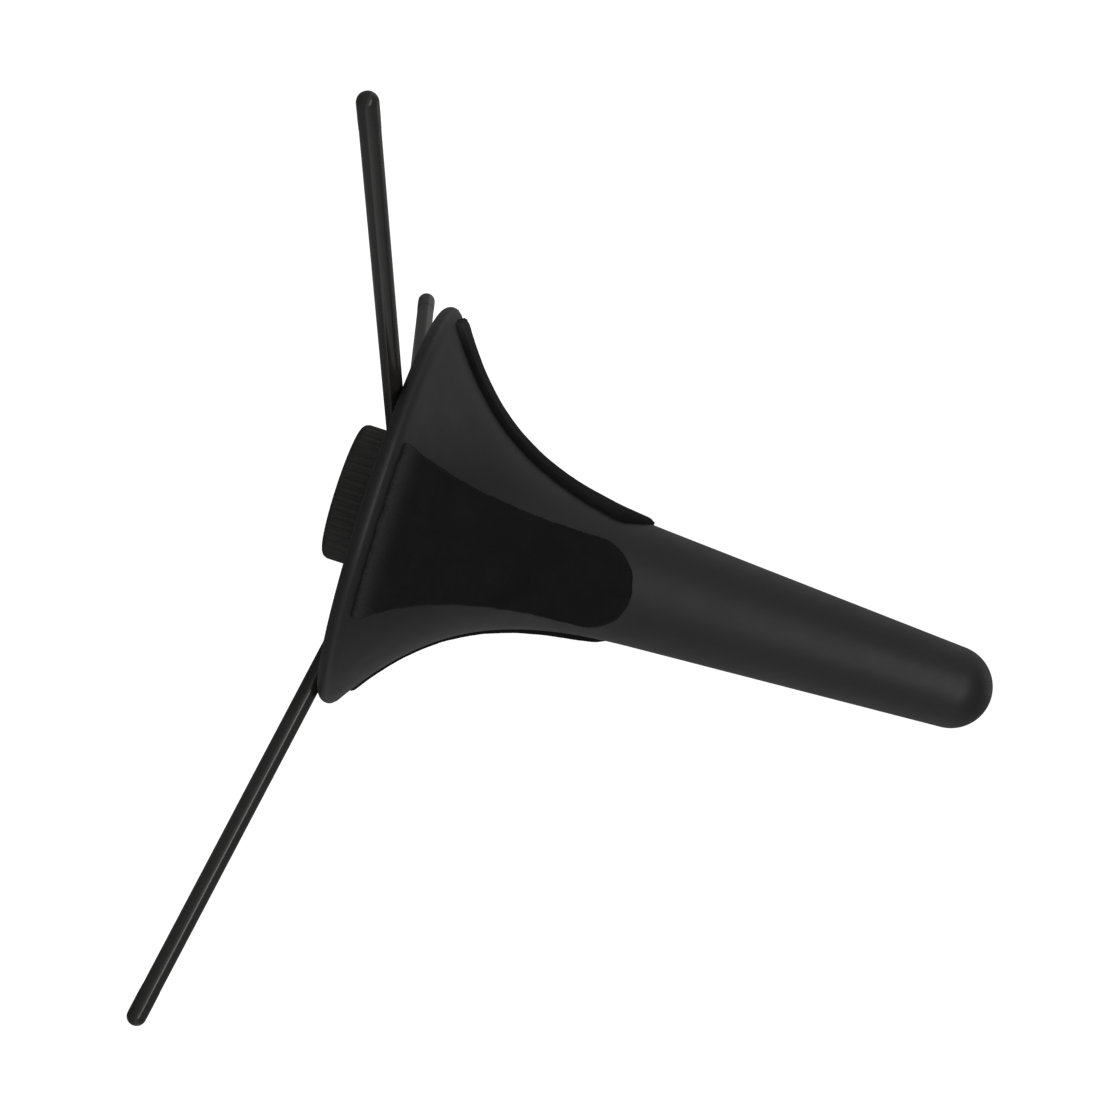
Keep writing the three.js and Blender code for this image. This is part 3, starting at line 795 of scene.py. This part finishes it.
def make_screw(number, azimuth):
    """Turned pan-head screw. Its thread adds to the core's radius by the square of one less the
    distance from the crest, in half pitches, and its cross recess follows the nearer of each arm's
    end and side round the axis."""
    angle = np.linspace(0, TURN, 96, endpoint=False)
    shank_z = np.linspace(SCREW_TIP, SCREW_HEAD_BOTTOM, 90)[:, None]
    taper = np.clip((shank_z - SCREW_TIP) / SCREW_POINT, 0, 1) ** 0.7
    phase = (shank_z / THREAD_PITCH - angle / TURN) % 1
    run_out = np.clip((SCREW_HEAD_BOTTOM - 0.6 - shank_z) / 0.8, 0, 1)
    core = (SCREW_SHANK - THREAD_DEPTH) + THREAD_DEPTH * (1 - run_out)
    shank = (core + THREAD_DEPTH * run_out * (1 - np.abs(2 * phase - 1)) ** 2) * taper
    top = SCREW_HEAD_BOTTOM + SCREW_HEAD_HEIGHT
    head = [(SCREW_HEAD - 0.15, SCREW_HEAD_BOTTOM), (SCREW_HEAD, SCREW_HEAD_BOTTOM + 0.15)]
    dome = arc((0, 0), 1, 0, math.pi / 2, 12)[:-4] * [SCREW_HEAD, SCREW_HEAD_HEIGHT - SCREW_WALL]
    plain = np.concatenate([head, dome + [0, SCREW_HEAD_BOTTOM + SCREW_WALL]])
    off_arm = np.abs((angle + math.pi / 4) % (math.pi / 2) - math.pi / 4)
    to_side = SCREW_CROSS_ARM / np.maximum(np.sin(off_arm), 1e-6)
    recess = np.minimum(SCREW_CROSS_HALF / np.cos(off_arm), to_side)
    recess_rows = np.array([[1.0, top - 0.12], [0.94, top - 0.2], [0.7, top - 1.1], [0, top - 1.2]])
    radius = np.concatenate([shank, plain[:, :1] + 0 * angle, recess_rows[:, :1] * recess])
    height = np.concatenate([shank_z, plain[:, 1:], recess_rows[:, 1:]])
    height = np.broadcast_to(height, radius.shape)
    grid = np.stack([radius * np.cos(angle) - SCREW_CIRCLE, radius * np.sin(angle), height], axis=-1)
    screw = surface(f"knob_screw_{number}", about_z(grid, azimuth), ZINC_STEEL, sharp=35)
    stands_for(screw, "leg_hub", "zinc_steel", f"hub_screw_{number}")


for leg_number, leg_azimuth in enumerate(LEG_AZIMUTHS, 1):
    make_rod(leg_number, leg_azimuth)
    make_foot(leg_number, leg_azimuth)
    make_pin(leg_number, leg_azimuth)
    make_screw(leg_number, leg_azimuth)

# ---- Floor, sky and lights ----------------------------------------------------------------------

SKY_LOW = 0.55  # what the white surroundings give the object, level with it
SKY_BEHIND = 0.26  # the same from straight behind it
SKY_TOP = 0.3  # share of either that comes from straight above
SKY_WHITE = 1.05  # what the eye sees of them
FLOOR_GLOW = 0.96  # added for the eye only
FLOOR_HALF = 6.0  # metres
SOFTBOXES = [
    # name, azimuth and elevation in degrees, distance, width and height in metres, brightness
    ("key_box", 3, 28, 1.15, 1.10, 0.28, 2.4),
    ("back_box", 215, 55, 1.30, 0.90, 0.60, 0.35),
]


def make_sky():
    """White to the eye. As a light it is dimmer, most of all behind the object and overhead, so
    that black plastic keeps its depth."""
    world = bpy.data.worlds.new("studio")
    world.use_nodes = True
    bpy.context.scene.world = world
    tree = world.node_tree
    tree.nodes.clear()
    towards = node(tree, "ShaderNodeTexCoord").outputs["Generated"]
    ways = node(tree, "ShaderNodeSeparateXYZ", {}, {"Vector": towards}).outputs
    level = spread(tree, ways["X"], -0.9, -0.4, SKY_BEHIND, SKY_LOW)
    share = spread(tree, ways["Z"], 0.1, 0.8, 1.0, SKY_TOP)
    light = node(tree, "ShaderNodeMath", {"operation": "MULTIPLY"}, {0: level, 1: share}).outputs[0]
    seen = node(tree, "ShaderNodeLightPath").outputs["Is Camera Ray"]
    lit = node(tree, "ShaderNodeBackground", {"Color": (1, 1, 1, 1)}, {"Strength": light})
    white = node(tree, "ShaderNodeBackground", {"Color": (1, 1, 1, 1), "Strength": SKY_WHITE})
    mix = node(tree, "ShaderNodeMixShader", {}, {0: seen, 1: lit.outputs[0], 2: white.outputs[0]})
    node(tree, "ShaderNodeOutputWorld", {}, {"Surface": mix.outputs[0]})


def make_floor():
    """Wide pale sweep that the feet stand on. A glow that only the eye sees keeps shadows light."""
    near, far = -FLOOR_HALF, FLOOR_HALF
    corners = [(near, near), (far, near), (far, far), (near, far)]
    mesh = bpy.data.meshes.new("studio_floor")
    mesh.from_pydata([(x, y, FLOOR_Z * MM) for x, y in corners], [], [(0, 1, 2, 3)])
    material = bpy.data.materials.new("matt_white_paper")
    material.use_nodes = True
    tree = material.node_tree
    tree.nodes.clear()
    seen = node(tree, "ShaderNodeLightPath").outputs["Is Camera Ray"]
    paper = node(tree, "ShaderNodeBsdfDiffuse", {"Color": colour("d0d0d0")})
    strength = node(tree, "ShaderNodeMath", {"operation": "MULTIPLY", 1: FLOOR_GLOW}, {0: seen})
    glow = node(tree, "ShaderNodeEmission", {"Color": (1, 1, 1, 1)}, {"Strength": strength.outputs[0]})
    both = node(tree, "ShaderNodeAddShader", {}, {0: paper.outputs[0], 1: glow.outputs[0]})
    node(tree, "ShaderNodeOutputMaterial", {}, {"Surface": both.outputs[0]})
    mesh.materials.append(material)
    floor = bpy.data.objects.new("studio_floor", mesh)
    bpy.context.scene.collection.objects.link(floor)


def make_softbox(name, azimuth, elevation, distance, width, height, brightness):
    """Rectangular light that faces the middle of the object. Its power is its brightness times its
    area times pi."""
    data = bpy.data.lights.new(name, "AREA")
    data.shape = "RECTANGLE"
    data.size = width
    data.size_y = height
    data.energy = brightness * width * height * math.pi
    light = bpy.data.objects.new(name, data)
    bpy.context.scene.collection.objects.link(light)
    towards = direction(math.radians(azimuth), math.radians(elevation))
    turn = towards.to_track_quat("Z", "Y").to_matrix().to_4x4()
    light.matrix_world = Matrix.Translation(AIM + towards * distance) @ turn


make_sky()
make_floor()
for softbox in SOFTBOXES:
    make_softbox(*softbox)
bpy.context.scene.view_settings.view_transform = "Standard"
